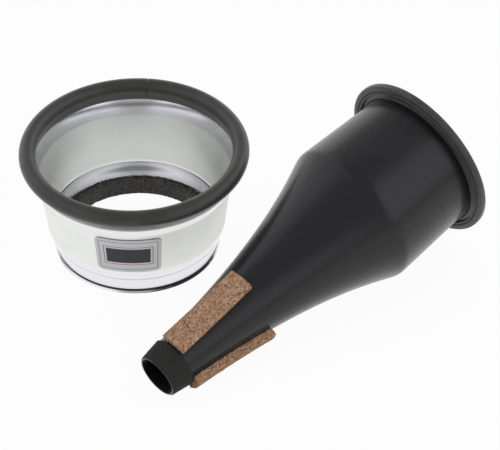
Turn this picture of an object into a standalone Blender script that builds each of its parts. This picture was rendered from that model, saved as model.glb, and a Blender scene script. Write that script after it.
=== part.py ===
"""Trumpet cup mute: a black cone mute lying on a table, with its cup taken off and standing beside it.

Metres, +Z up. X runs along the lying cone from its narrow end to its wide end, and the origin is on the
table at the middle of the floor area that both pieces cover. The cup stands upright on its base.
The cone rests on the bend where its flare meets its body and on the lowest cork, as its balance makes it do.

Every turned piece has its own axis as local Z. On the cone that axis starts at the throat, and distances
along it are called "along". On the cup it starts on the table, and distances along it are heights.
"""
import math

import bmesh
import bpy
import numpy as np

# Fits and fineness
FIT_GAP = 0.0003                # clearance between pieces that touch
TURN_STEPS = 48                 # sides of every turned piece, a multiple of four
SHEET = 0.0008                  # aluminium sheet of cone and cup
DISC_SHEET = 0.0005             # sheet of the disc that closes the cone
FILLET_POINTS = 5               # points on the flange's fillet
CORNER_POINTS = 4               # points on each round corner of the end ring
BEAD_POINTS = 14                # points on the round bead of the cup's edging
FLARE_POINTS = 16               # points along the cone's flare
WALL_POINTS = 6                 # points up the cup's wall, to its edging
GRIP_POINTS = 4                 # points along the edging's slot
OUTER_SHOULDER_STEPS = 3        # steps of the cup's shoulder, outside
INNER_SHOULDER_STEPS = 5        # steps of the cup's shoulder, inside

# Cone: flare from the throat to a bend, then a nearly straight body with a turned-out flange
THROAT_RADIUS = 0.0114
FLARE_LENGTH = 0.1373
BEND_RADIUS = 0.0400
FLARE_GROWTH = 0.0800           # length over which the flare's growth multiplies by e
BODY_LENGTH = 0.0496
BODY_TAPER = 0.0020             # the body's radius shrinks by this from the bend to its end
FLANGE_FILLET = 0.0021

# Rubber edging that grips flange and disc
EDGING_GRIP = 0.0032            # its lips reach in over the flange by this
EDGING_CLEARANCE = 0.0009       # from the flange's fillet to the lip
EDGING_COVER = 0.0014           # rubber outside the flange
EDGING_FRONT = 0.0004           # rubber in front of the flange, at the bottom of the groove
EDGING_BACK = 0.0006            # rubber behind the disc
EDGING_CORNER = 0.0014          # rounding of its outer corners
EDGING_LIP_CORNER = 0.0004      # bevel of its back lip
RIDGE_HEIGHT = 0.0008           # its round ridge and its rim stand this far in front of the groove's bottom
RIDGE_WIDTH = 0.0014
GROOVE_RUN = 0.0009             # from the groove's bottom out to the rim's round front
GROOVE_SIDE = 0.3               # part of that run that the steep side of the groove takes
RIDGE_SIDE = 0.35               # the ridge's shoulders stand at this share of its width and height

# Disc that closes the wide end, dished towards the throat
DISH_CLEARANCE = 0.0012         # from the body's inner face to the dish's step
DISH_RUN = 0.0020               # width of the sloping step round the dish
DISH_DEPTH = 0.0015

# Sleeve round the throat
SLEEVE_START = 0.0003
SLEEVE_LENGTH = 0.0116
SLEEVE_WALL = 0.0010
SLEEVE_MOUTH_WALL = 0.0006      # it thins towards the throat's edge
SLEEVE_ROUNDING = 0.0005
SLEEVE_MOUTH_ROUNDING = 0.0003
SLEEVE_MOUTH_RUN = 0.0010       # length of the rounding at the throat

# Cork strips
CORK_GAP_ALONG = 0.0008         # from the sleeve to the strips
CORK_LENGTH = 0.0486
CORK_WIDTH = 0.0123
CORK_THICKNESS = 0.0043
CORK_TURNS = (7, 127, 238)      # in degrees from the top towards -Y; glued by hand, so not quite even
CORK_CELLS_ALONG = 6
CORK_CELLS_ACROSS = 6

# Felt in the cup's base, which grips the cone's body
FELT_SQUEEZE = 0.0014           # its bore is tighter than the cone's bend by this
FELT_THICKNESS = 0.0035
FELT_RECESS = 0.0003            # from the table to the felt
FELT_PROUD = 0.0005             # the felt stands above the base's bore by this
FELT_ROUNDING = 0.0008

# Cup, upwards from the table: lip, groove, folded band, shoulder, wall
LIP_REACH = 0.0011              # the lip stands out from the groove by this
LIP_HEIGHT = 0.0015
LIP_ROUNDING = 0.0003
GROOVE_WALL = 0.0005            # metal left between the groove and the base's bore
GROOVE_HEIGHT = 0.0013
BAND_STEP = 0.0006              # the band's foot stands out from the groove by this
BAND_SPREAD = 0.0018            # the band's radius grows by this to its top
BAND_HEIGHT = 0.0082
BAND_SEAM = 0.0004              # depth and height of the fine seam under the band's top
COLLAR_DROP = 0.0020            # the base's bore ends this far below the band's top
SHOULDER_REACH = 0.0019
SHOULDER_HEIGHT = 0.0060
WALL_HEIGHT = 0.0404            # to the edge of the sheet inside the rubber
WALL_LEAN = 0.11                # outward lean of the wall, as a slope
MOUTH_SPREAD = 0.0050           # how far the flare carries the sheet's edge outwards
MOUTH_GROWTH = 0.0087           # height over which that spread multiplies by e

# Rubber edging on the cup's mouth
BEAD_RADIUS = 0.0044
BEAD_RISE = 0.0032              # from the sheet's edge up to the bead's middle
BEAD_INSET = 0.0010             # from the sheet's edge in to the bead's middle
SKIRT_COVER = 0.0060            # height of sheet that the outer skirt covers
SKIRT_EDGE = 0.0005             # rubber at the skirts' edges

# Label on the bowl
LABEL_RISE = 0.0015             # from the wall's foot to its lower edge
LABEL_TALL = 0.0240
LABEL_WIDE = 0.0340
LABEL_THICKNESS = 0.0002
LABEL_TURN = math.radians(-136)
LABEL_CELLS = 8

# Where the cup stands, from the throat
CUP_AHEAD = 0.0720
CUP_ASIDE = 0.0966


def linear(hex_colour):
    """Linear RGBA of an sRGB hex colour."""
    channels = [int(hex_colour[i:i + 2], 16) / 255 for i in (1, 3, 5)]
    return [c / 12.92 if c <= 0.04045 else ((c + 0.055) / 1.055) ** 2.4 for c in channels] + [1.0]


def material(name, colour, roughness, metallic=0.0):
    """Principled material of one colour and finish."""
    made = bpy.data.materials.new(name)
    made.use_nodes = True
    shader = made.node_tree.nodes["Principled BSDF"]
    shader.inputs["Base Color"].default_value = linear(colour)
    shader.inputs["Roughness"].default_value = roughness
    shader.inputs["Metallic"].default_value = metallic
    made.diffuse_color = linear(colour)
    return made


def arc(middle, radius, start, end, count):
    """Points of an arc from angle start to angle end, in degrees, both ends included."""
    angles = np.radians(np.linspace(start, end, count))
    return [(middle[0] + radius * math.cos(a), middle[1] + radius * math.sin(a)) for a in angles]


def add_object(name, mesh, finish, axis):
    """Object of a mesh with one material, carried by an axis empty."""
    mesh.materials.append(finish)
    made = bpy.data.objects.new(name, mesh)
    parts.objects.link(made)
    made.parent = axis
    return made


def turned(name, outline, finish, axis, sheet=None):
    """Piece turned about its axis from an outline of (radius, distance along) points.

    With a sheet thickness the outline is open and is the outer face of a shell. Otherwise it is a closed
    section. Either way its outer side runs from the far end of the axis back to the start, and a face that
    looks to the far end runs outwards.
    """
    mesh = bpy.data.meshes.new(name)
    count = len(outline)
    edges = [(i, i + 1) for i in range(count - 1)]
    if sheet is None:
        edges.append((count - 1, 0))
    mesh.from_pydata([(radius, 0.0, along) for radius, along in outline], edges, [])
    made = add_object(name, mesh, finish, axis)
    screw = made.modifiers.new("Turn", "SCREW")
    screw.steps = TURN_STEPS
    screw.render_steps = TURN_STEPS
    screw.use_merge_vertices = True
    screw.merge_threshold = 0.00001
    screw.use_smooth_shade = True
    if sheet is not None:
        thicken(made, sheet, -1.0)
    return made


def thicken(made, thickness, side):
    """Solidify to one side of a surface: 1 for the side its faces point to, -1 for the other."""
    solidify = made.modifiers.new("Sheet", "SOLIDIFY")
    solidify.thickness = thickness
    solidify.offset = side
    solidify.use_even_offset = True


def wrapped(name, cells, place, thickness, finish, axis):
    """Strip laid over a round surface: a flat grid whose points (u, v), from 0 to 1, go to place(u, v)."""
    shape = bmesh.new()
    bmesh.ops.create_grid(shape, x_segments=cells[0], y_segments=cells[1], size=0.5)
    for vertex in shape.verts:
        vertex.co = place(vertex.co.x + 0.5, vertex.co.y + 0.5)
    mesh = bpy.data.meshes.new(name)
    shape.to_mesh(mesh)
    shape.free()
    mesh.shade_smooth()
    made = add_object(name, mesh, finish, axis)
    thicken(made, thickness, 1.0)
    return made


def flare_radius(along):
    """Outer radius of the cone's metal from the throat to the bend: it grows exponentially."""
    growth = math.expm1(along / FLARE_GROWTH) / math.expm1(FLARE_LENGTH / FLARE_GROWTH)
    return THROAT_RADIUS + (BEND_RADIUS - THROAT_RADIUS) * growth


def cone_outline():
    """Outer face of the cone, from the flange's edge back to the throat."""
    fillet_middle = (body_end_radius + FLANGE_FILLET, body_end_along)
    outline = [(flange_radius, flange_along)]
    outline += arc(fillet_middle, FLANGE_FILLET, 90, 180, FILLET_POINTS)
    outline += [(flare_radius(along), along) for along in np.linspace(FLARE_LENGTH, 0, FLARE_POINTS)]
    return outline


def disc_outline():
    """Outer face of the dished disc, from its middle, over the sloping step, to its edge."""
    face = disc_along + DISC_SHEET
    step_radius = body_end_radius - SHEET - DISH_CLEARANCE
    return [
        (0.0, face - DISH_DEPTH),
        (step_radius - DISH_RUN, face - DISH_DEPTH),
        (step_radius, face),
        (flange_radius, face),
    ]


def end_edging_outline():
    """Section of the ring: back, rim, round front, groove, ridge on the lip, slot for flange and disc."""
    slot_radius = flange_radius + FIT_GAP
    rim = slot_radius + EDGING_COVER
    front = slot_front_along - EDGING_FRONT
    back = slot_back_along + EDGING_BACK
    crest = front - RIDGE_HEIGHT
    shoulder = front - RIDGE_SIDE * RIDGE_HEIGHT
    inner = flange_radius - EDGING_GRIP
    groove = inner + RIDGE_WIDTH
    corner = rim - EDGING_CORNER
    return [
        (inner, back - EDGING_LIP_CORNER),
        (inner + EDGING_LIP_CORNER, back),
        *arc((corner, back - EDGING_CORNER), EDGING_CORNER, 90, 0, CORNER_POINTS),
        *arc((corner, crest + EDGING_CORNER), EDGING_CORNER, 0, -90, CORNER_POINTS),
        (groove + GROOVE_RUN, crest),
        (groove + GROOVE_RUN * GROOVE_SIDE, shoulder),
        (groove, front),
        (inner + RIDGE_WIDTH * (1 - RIDGE_SIDE / 2), shoulder),
        (inner + RIDGE_WIDTH / 2, crest),
        (inner + RIDGE_WIDTH * RIDGE_SIDE / 2, shoulder),
        (inner, front),
        (inner, slot_front_along),
        (slot_radius, slot_front_along),
        (slot_radius, slot_back_along),
        (inner, slot_back_along),
    ]


def sleeve_outline():
    """Section of the sleeve, which follows the flare, thins towards the throat and has rounded edges."""
    start_bore = flare_radius(SLEEVE_START) + FIT_GAP
    end_bore = flare_radius(sleeve_end) + FIT_GAP
    return [
        (end_bore, sleeve_end),
        (end_bore + SLEEVE_WALL - SLEEVE_ROUNDING, sleeve_end),
        (end_bore + SLEEVE_WALL, sleeve_end - SLEEVE_ROUNDING),
        (start_bore + SLEEVE_MOUTH_WALL, SLEEVE_START + SLEEVE_MOUTH_RUN),
        (start_bore + SLEEVE_MOUTH_WALL - SLEEVE_MOUTH_ROUNDING, SLEEVE_START),
        (start_bore, SLEEVE_START),
    ]


def cork_place(turn):
    """Place of a point of a cork strip centred at a turn round the cone, in degrees, on its glued face."""
    def place(u, v):
        along = sleeve_end + CORK_GAP_ALONG + v * CORK_LENGTH
        radius = flare_radius(along) + FIT_GAP
        angle = math.radians(turn) + (u - 0.5) * CORK_WIDTH / radius
        return radius * math.cos(angle), radius * math.sin(angle), along
    return place


def wall_point(height, depth):
    """Point (radius, height) of the bowl's sheet at a depth under its outer face, square to the face."""
    lean = WALL_LEAN * (height - wall_foot_height)
    spread = MOUTH_SPREAD * math.exp((height - mouth_edge_height) / MOUTH_GROWTH)
    slope = math.atan(WALL_LEAN + spread / MOUTH_GROWTH)
    radius = wall_foot_radius + lean + spread
    return radius - depth * math.cos(slope), height + depth * math.sin(slope)


def edge_point(depth):
    """Point beyond the sheet's edge by the fit gap, at a depth under the sheet's outer face."""
    radius, height = wall_point(mouth_edge_height, depth)
    slope = math.atan(WALL_LEAN + MOUTH_SPREAD / MOUTH_GROWTH)
    return radius + FIT_GAP * math.sin(slope), height + FIT_GAP * math.cos(slope)


def bowl_outline():
    """Section of the cup: outer wall, shoulder, seam, folded band, lip, bore of the base, inner wall."""
    heights = list(np.linspace(wall_foot_height, skirt_height, WALL_POINTS)) + grip_heights[1:]
    outer_wall = [wall_point(height, 0.0) for height in reversed(heights)]
    inner_wall = [wall_point(height, SHEET) for height in heights]

    foot_radius = outer_wall[-1][0]
    shoulder = []
    for share in np.linspace(1, 0, OUTER_SHOULDER_STEPS + 1)[1:-1]:
        radius = band_top_radius + (foot_radius - band_top_radius) * math.sin(share * math.pi / 2)
        shoulder.append((radius, band_top_height + SHOULDER_HEIGHT * share))

    lip_radius = groove_radius + LIP_REACH
    base = [
        (band_top_radius, band_top_height),
        (band_top_radius - BAND_SEAM, band_top_height - BAND_SEAM / 2),
        (band_top_radius, band_top_height - BAND_SEAM),
        (groove_radius + BAND_STEP, band_foot_height),
        (groove_radius, LIP_HEIGHT + GROOVE_HEIGHT / 2),
        (groove_radius, LIP_HEIGHT),
        (lip_radius, LIP_ROUNDING),
        (lip_radius - LIP_ROUNDING, 0.0),
        (collar_radius, 0.0),
        (collar_radius, collar_height),
    ]

    top_radius, top_height = inner_wall[0]
    inner_shoulder = []
    for share in np.linspace(0, 1, INNER_SHOULDER_STEPS + 1)[1:-1]:
        ease = share * share * (3 - 2 * share)
        radius = collar_radius + (top_radius - collar_radius) * ease
        inner_shoulder.append((radius, collar_height + (top_height - collar_height) * share))

    return outer_wall + shoulder + base + inner_shoulder + inner_wall


def tangent_angle(point, middle, radius, side):
    """Angle, in degrees, where the tangent from a point touches a circle, on side 1 or -1."""
    across = point[0] - middle[0]
    up = point[1] - middle[1]
    reach = math.acos(radius / math.hypot(across, up))
    return math.degrees(math.atan2(up, across) + side * reach)


def rim_edging_outline():
    """Section of the mouth's edging: inner skirt, round bead, outer skirt, and the slot for the sheet."""
    edge_radius, edge_height = wall_point(mouth_edge_height, 0.0)
    middle = (edge_radius - BEAD_INSET, edge_height + BEAD_RISE)
    inner_height = grip_heights[1]
    inner_tip = wall_point(inner_height, SHEET + FIT_GAP + SKIRT_EDGE)
    outer_tip = wall_point(skirt_height, -FIT_GAP - SKIRT_EDGE)
    inner_touch = tangent_angle(inner_tip, middle, BEAD_RADIUS, -1) + 360
    outer_touch = tangent_angle(outer_tip, middle, BEAD_RADIUS, 1)
    slot_outside = [wall_point(height, -FIT_GAP) for height in grip_heights]
    slot_inside = [wall_point(height, SHEET + FIT_GAP) for height in grip_heights[:0:-1]]
    return [
        inner_tip,
        *arc(middle, BEAD_RADIUS, inner_touch, outer_touch, BEAD_POINTS),
        outer_tip,
        *slot_outside[:-1],
        edge_point(-FIT_GAP),
        edge_point(SHEET + FIT_GAP),
        *slot_inside[1:],
    ]


def felt_outline():
    """Section of the felt band in the base's bore, with its inner edges rounded."""
    outside = felt_bore + FELT_THICKNESS
    top = collar_height + FELT_PROUD
    return [
        (outside, top),
        (outside, FELT_RECESS),
        (felt_bore + FELT_ROUNDING, FELT_RECESS),
        (felt_bore, FELT_RECESS + FELT_ROUNDING),
        (felt_bore, top - FELT_ROUNDING),
        (felt_bore + FELT_ROUNDING, top),
    ]


def label_place(u, v):
    """Place of a point of the label on the bowl's wall."""
    foot = wall_foot_height + LABEL_RISE
    radius, height = wall_point(foot + v * LABEL_TALL, -FIT_GAP)
    middle_radius = wall_point(foot + LABEL_TALL / 2, -FIT_GAP)[0]
    angle = LABEL_TURN + (u - 0.5) * LABEL_WIDE / middle_radius
    return radius * math.cos(angle), radius * math.sin(angle), height


def world_points(objects):
    """Corners of the objects' finished meshes in world space, one row each."""
    bpy.context.view_layer.update()
    graph = bpy.context.evaluated_depsgraph_get()
    rows = []
    for made in objects:
        finished = made.evaluated_get(graph)
        rows += [finished.matrix_world @ vertex.co for vertex in finished.data.vertices]
    return np.array(rows)


def resting_tilt(near, far):
    """Tilt at which the narrow end's lowest point and the wide end's touch the table together.

    Both are arrays of (along, drop) points; the drop is the depth under the level axis. A near point
    that hangs lower lifts the narrow end, so the true tilt is the least of those the near points ask for.
    """
    rise = far[:, 1][None, :] - near[:, 1][:, None]
    run = far[:, 0][None, :] - near[:, 0][:, None]
    return float(np.arctan2(rise, run).max(axis=1).min())


# Start from an empty scene
for old in list(bpy.data.objects):
    bpy.data.objects.remove(old, do_unlink=True)
parts = bpy.data.collections.new("trumpet_cup_mute")
bpy.context.scene.collection.children.link(parts)

# Finishes
black_coat = material("black_coat", "#2f2e30", 0.35)
black_rubber = material("black_rubber", "#2f2f2d", 0.45)
matt_sleeve = material("matt_sleeve", "#2b2c27", 0.85)
bare_aluminium = material("bare_aluminium", "#d6d8d6", 0.3, 1.0)
black_felt = material("black_felt", "#20201e", 1.0)
cork = material("cork", "#a9825f", 0.9)
foil = material("foil", "#c4c6c8", 0.4, 0.5)

# Cone: what its sizes give at the wide end and at the sleeve
body_end_along = FLARE_LENGTH + BODY_LENGTH
body_end_radius = BEND_RADIUS - BODY_TAPER
flange_radius = body_end_radius + FLANGE_FILLET + EDGING_CLEARANCE + EDGING_GRIP
flange_along = body_end_along + FLANGE_FILLET
disc_along = flange_along + SHEET + FIT_GAP
slot_front_along = flange_along - FIT_GAP
slot_back_along = disc_along + DISC_SHEET + FIT_GAP
sleeve_end = SLEEVE_START + SLEEVE_LENGTH

# Cup: its radii from the felt outwards, and its heights from the table upwards
felt_bore = BEND_RADIUS - FELT_SQUEEZE
collar_radius = felt_bore + FELT_THICKNESS + FIT_GAP
groove_radius = collar_radius + GROOVE_WALL
band_top_radius = groove_radius + BAND_STEP + BAND_SPREAD
wall_foot_radius = band_top_radius + SHOULDER_REACH
band_foot_height = LIP_HEIGHT + GROOVE_HEIGHT
band_top_height = band_foot_height + BAND_HEIGHT
collar_height = band_top_height - COLLAR_DROP
wall_foot_height = band_top_height + SHOULDER_HEIGHT
mouth_edge_height = wall_foot_height + WALL_HEIGHT
skirt_height = mouth_edge_height - SKIRT_COVER

# Heights at which the cup's sheet and the slot of its edging share their corners
grip_heights = list(np.linspace(skirt_height, mouth_edge_height, GRIP_POINTS))

# Axes that carry the two halves, each an empty at the start of its axis
cone_axis = bpy.data.objects.new("cone_axis", None)
cup_axis = bpy.data.objects.new("cup_axis", None)
parts.objects.link(cone_axis)
parts.objects.link(cup_axis)

# Cone
cone_body = turned("cone_body", cone_outline(), black_coat, cone_axis, SHEET)
end_plate = turned("end_plate", disc_outline(), black_coat, cone_axis, DISC_SHEET)
end_edging = turned("end_edging", end_edging_outline(), black_rubber, cone_axis)
throat_sleeve = turned("throat_sleeve", sleeve_outline(), matt_sleeve, cone_axis)
cork_strips = []
for number, turn in enumerate(CORK_TURNS, 1):
    cork_strips.append(wrapped(
        f"cork_strip_{number}", (CORK_CELLS_ACROSS, CORK_CELLS_ALONG), cork_place(turn),
        CORK_THICKNESS, cork, cone_axis))

# Cup
cup_shell = turned("cup_shell", bowl_outline(), bare_aluminium, cup_axis)
rim_edging = turned("rim_edging", rim_edging_outline(), black_rubber, cup_axis)
collar_felt = turned("collar_felt", felt_outline(), black_felt, cup_axis)
label = wrapped("label", (LABEL_CELLS, LABEL_CELLS), label_place, LABEL_THICKNESS, foil, cup_axis)

# The cone rests on the table. While its axis still stands on end, local X is the side that will be up.
narrow = world_points([throat_sleeve, *cork_strips])
wide = world_points([cone_body, end_edging])
tilt = resting_tilt(
    np.column_stack([narrow[:, 2], -narrow[:, 0]]),
    np.column_stack([wide[:, 2], -wide[:, 0]]))
cone_axis.rotation_euler = (0.0, tilt - math.pi / 2, math.pi)
cone_pieces = [cone_body, end_plate, end_edging, throat_sleeve, *cork_strips]
cone_axis.location.z = -world_points(cone_pieces)[:, 2].min()

# The cup stands beside it, and the middle of both goes over the origin
cup_axis.location = (CUP_AHEAD, CUP_ASIDE, 0.0)
corners = world_points(cone_pieces + [cup_shell, rim_edging, collar_felt, label])
middle_of_floor = (corners.min(axis=0) + corners.max(axis=0)) / 2
for axis in (cone_axis, cup_axis):
    axis.location.x -= middle_of_floor[0]
    axis.location.y -= middle_of_floor[1]
bpy.context.view_layer.update()
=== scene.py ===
import math

import bpy
import numpy as np
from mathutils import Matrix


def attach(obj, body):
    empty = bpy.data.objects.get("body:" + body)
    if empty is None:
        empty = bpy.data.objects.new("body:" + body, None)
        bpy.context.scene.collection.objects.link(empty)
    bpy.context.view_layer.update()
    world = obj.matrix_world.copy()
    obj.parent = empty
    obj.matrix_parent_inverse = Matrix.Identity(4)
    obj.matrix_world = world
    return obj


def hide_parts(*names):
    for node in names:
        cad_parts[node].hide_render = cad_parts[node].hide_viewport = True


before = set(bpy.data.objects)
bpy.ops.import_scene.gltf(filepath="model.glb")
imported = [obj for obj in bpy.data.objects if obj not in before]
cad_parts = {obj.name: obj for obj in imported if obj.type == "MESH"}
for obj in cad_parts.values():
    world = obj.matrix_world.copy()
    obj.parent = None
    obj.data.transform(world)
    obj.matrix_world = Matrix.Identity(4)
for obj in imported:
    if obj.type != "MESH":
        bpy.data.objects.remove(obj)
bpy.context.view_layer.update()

# Cone body
# Spun aluminium cone, from the thin-edged throat through a swelling flare to a nearly straight body whose
# end is turned out as a flange. Its satin black coat is sprayed on and baked, inside and out.
THROAT = np.array([-0.09714058, -0.05537201, 0.01254246])    # middle of the throat's edge
CONE_TILT = math.radians(11.211011)                          # the axis rises towards the wide end
CONE_AXIS = np.array([math.cos(CONE_TILT), 0.0, math.sin(CONE_TILT)])
CONE_UP = np.array([-math.sin(CONE_TILT), 0.0, math.cos(CONE_TILT)])
CONE_SIDE = np.array([0.0, -1.0, 0.0])
SHEET = 0.0008
THROAT_RADIUS = 0.0114
FLARE_LENGTH = 0.1373
BEND_RADIUS = 0.0400
FLARE_GROWTH = 0.0800           # length over which the flare's growth multiplies by e
BODY_LENGTH = 0.0496
BODY_TAPER = 0.0020
BEND_SOFTNESS = 0.0004          # the bend is rounded over a few times this height
FLANGE_FILLET = 0.0021
FLANGE_RADIUS = 0.0442
BEND_ZONE = 0.0070              # the section's points lie closest together this near the bend
CONE_COLUMNS = 240              # faces round the cone, and round its end plate and sleeve
BROAD_SHARP = 40                # faces that meet at more than this many degrees show a sharp edge


def linear(hex_colour):
    """Linear RGBA of an sRGB hex colour."""
    channels = [int(hex_colour[i:i + 2], 16) / 255 for i in (1, 3, 5)]
    return [c / 12.92 if c <= 0.04045 else ((c + 0.055) / 1.055) ** 2.4 for c in channels] + [1.0]


def add(tree, kind, links=(), **settings):
    """Adds a node. A setting goes to the property or input socket of that name, stops are a colour ramp's
    (position, colour) from first to last, and each link is (input, output socket that feeds it)."""
    node = tree.nodes.new("ShaderNode" + kind)
    for name, value in settings.items():
        if name == "stops":
            elements = node.color_ramp.elements
            for position, colour in value[1:-1]:
                elements.new(position).color = linear(colour)
            for end in (0, -1):
                elements[end].position = value[end][0]
                elements[end].color = linear(value[end][1])
        elif hasattr(node, name):
            setattr(node, name, value)
        else:
            node.inputs[name.replace("_", " ")].default_value = value
    for place, source in links:
        tree.links.new(source, node.inputs[place])
    return node


def finish_named(name, **settings):
    """New material, its node tree and its Principled shader, whose own sockets take the settings."""
    made = bpy.data.materials.new(name)
    made.use_nodes = True
    shader = made.node_tree.nodes["Principled BSDF"]
    for socket, value in settings.items():
        shader.inputs[socket.replace("_", " ")].default_value = value
    return made, made.node_tree, shader


def flare_radius(along):
    """Outer radius of the flare: the throat's radius plus an exponential growth that ends at the bend."""
    growth = np.expm1(along / FLARE_GROWTH) / np.expm1(FLARE_LENGTH / FLARE_GROWTH)
    return THROAT_RADIUS + (BEND_RADIUS - THROAT_RADIUS) * growth


def metal_radius(along):
    """Outer radius of the whole cone: the lower of flare and body line, by a soft minimum."""
    body = BEND_RADIUS - BODY_TAPER * (along - FLARE_LENGTH) / BODY_LENGTH
    flare = flare_radius(along)
    return -BEND_SOFTNESS * np.logaddexp(-flare / BEND_SOFTNESS, -body / BEND_SOFTNESS)


def arc(middle, radius, start, end, count):
    """Points of an arc from angle start to angle end in degrees, both ends included."""
    angles = np.radians(np.linspace(start, end, count))
    return np.array(middle) + radius * np.column_stack([np.cos(angles), np.sin(angles)])


def sheet_section(outer, thickness, steps=6):
    """Closed section of a sheet from its outer face: the same line moved inwards by the thickness, square
    to itself, with a half circle round each cut edge."""
    slope = np.gradient(outer, axis=0)
    slope /= np.linalg.norm(slope, axis=1)[:, None]
    inward = np.column_stack([slope[:, 1], -slope[:, 0]])
    inner = outer + thickness * inward
    turn = np.linspace(0, np.pi, steps + 2)[1:-1, None]
    caps = [
        outer[i] + thickness / 2 * (inward[i] * (1 - np.cos(turn)) + side * slope[i] * np.sin(turn))
        for i, side in ((-1, 1), (0, -1))
    ]
    return np.vstack([outer, caps[0], inner[::-1], caps[1][::-1]])


def points_in(points, *groups):
    """True where the faces of a closed surface point inwards: the sum of a . (b x c) over its triangles,
    which is six times its volume, is below zero. A quad counts as two triangles."""
    total = 0.0
    for faces in groups:
        for k in range(1, faces.shape[1] - 1):
            a, b, c = (points[faces[:, corner]] for corner in (0, k, k + 1))
            total += np.einsum("ij,ij->i", a, np.cross(b, c)).sum()
    return total < 0


def grid_mesh(name, points, surface, body, replaced, sharp=BROAD_SHARP):
    """Mesh of points[i, j] with a quad between neighbours, closed both ways. U runs with j from 0 to 1 and
    V is the length along i in metres. Faces are turned to point outwards."""
    rows, columns = points.shape[:2]
    i, j = np.meshgrid(np.arange(rows), np.arange(columns), indexing="ij")
    i, j = i.ravel(), j.ravel()
    ring_i = np.column_stack([i, i, i + 1, i + 1])
    ring_j = np.column_stack([j, j + 1, j + 1, j])
    faces = (ring_i % rows) * columns + ring_j % columns
    step = np.linalg.norm(np.roll(points, -1, axis=0) - points, axis=2).mean(axis=1)
    length = np.concatenate([[0], np.cumsum(step)])
    uv = np.stack([ring_j / columns, length[ring_i]], axis=-1)
    flat = points.reshape(-1, 3)
    if points_in(flat, faces):
        faces, uv = faces[:, ::-1], uv[:, ::-1]
    mesh = bpy.data.meshes.new(name)
    mesh.from_pydata(flat.tolist(), [], faces.tolist())
    mesh.uv_layers.new(name="turned").uv.foreach_set("vector", np.ascontiguousarray(uv, np.float32).ravel())
    mesh.shade_smooth()
    mesh.set_sharp_from_angle(angle=math.radians(sharp))
    place_piece(mesh, surface, body, replaced)


def place_piece(mesh, surface, body, replaced):
    """Object of a mesh that rides on a body, takes a material slot and stands for CAD nodes."""
    mesh.materials.append(surface)
    made = bpy.data.objects.new(mesh.name, mesh)
    bpy.context.scene.collection.objects.link(made)
    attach(made, body)
    if replaced:
        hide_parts(*replaced)


def round_cone(section, angles):
    """Turns a section of (radius, along) points about the cone's axis: points[i, j] is at angle j, which
    starts at the top and goes round by the -Y side."""
    radius, along = section[:, 0, None, None], section[:, 1, None, None]
    around = np.cos(angles)[:, None] * CONE_UP + np.sin(angles)[:, None] * CONE_SIDE
    return THROAT + along * CONE_AXIS + radius * around


def full_turn(steps):
    """Angles of a full turn in equal steps."""
    return np.arange(steps) * 2 * np.pi / steps


body_end = FLARE_LENGTH + BODY_LENGTH
flange_along = body_end + FLANGE_FILLET
fillet_radius = BEND_RADIUS - BODY_TAPER + FLANGE_FILLET
flare_stations = np.concatenate([
    np.linspace(body_end, FLARE_LENGTH + BEND_ZONE + 0.001, 10)[1:],
    np.linspace(FLARE_LENGTH + BEND_ZONE, FLARE_LENGTH - BEND_ZONE, 29),
    np.linspace(FLARE_LENGTH - BEND_ZONE - 0.003, 0.0, 60),
])
cone_outer = np.vstack([
    np.column_stack([np.linspace(FLANGE_RADIUS, fillet_radius, 5), np.full(5, flange_along)])[:-1],
    arc((fillet_radius, body_end), FLANGE_FILLET, 90, 180, 12),
    np.column_stack([metal_radius(flare_stations), flare_stations]),
])

# Baked satin paint on spun metal: nearly black, with broad soft highlights and a pale sheen where it
# turns away. The peel of the spray, 0.7 mm from crest to crest, only stirs the gloss.
black_coat, tree, shader = finish_named(
    "baked_satin_black_coat_on_spun_aluminium", Specular_IOR_Level=0.40, Sheen_Weight=0.50,
    Sheen_Roughness=0.32)
where = add(tree, "TexCoord")
cloud = add(tree, "TexNoise", [("Vector", where.outputs["Object"])], Scale=55.0, Detail=3.0)
tone = add(
    tree, "ValToRGB", [("Fac", cloud.outputs["Fac"])], stops=((0.35, "#171618"), (0.70, "#1c1b1d")))
tree.links.new(tone.outputs["Color"], shader.inputs["Base Color"])
peel = add(tree, "TexNoise", [("Vector", where.outputs["Object"])], Scale=1400.0, Detail=2.0)
gloss = add(tree, "MapRange", [("Value", peel.outputs["Fac"])], To_Min=0.25, To_Max=0.29)
tree.links.new(gloss.outputs["Result"], shader.inputs["Roughness"])
skin = add(tree, "Bump", [("Height", peel.outputs["Fac"])], Strength=0.01, Distance=0.0001)
tree.links.new(skin.outputs["Normal"], shader.inputs["Normal"])

grid_mesh(
    "cone_body_coated", round_cone(sheet_section(cone_outer, SHEET), full_turn(CONE_COLUMNS)), black_coat,
    "mute_body", ["cone_body"])

# End plate
# The flat aluminium disc that closes the wide end, pressed in a shallow dish so that it stays stiff. It
# has the cone's coat, and the ring holds its edge against the flange.
FIT_GAP = 0.0003
DISC_SHEET = 0.0005
DISH_RADIUS = 0.0340
DISH_RUN = 0.0020
DISH_DEPTH = 0.0015
DISC_MIDDLE = 0.0060            # radius of the first ring of points round its middle
DISC_BROKEN = 0.0001            # its cut edge is broken by this


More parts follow.
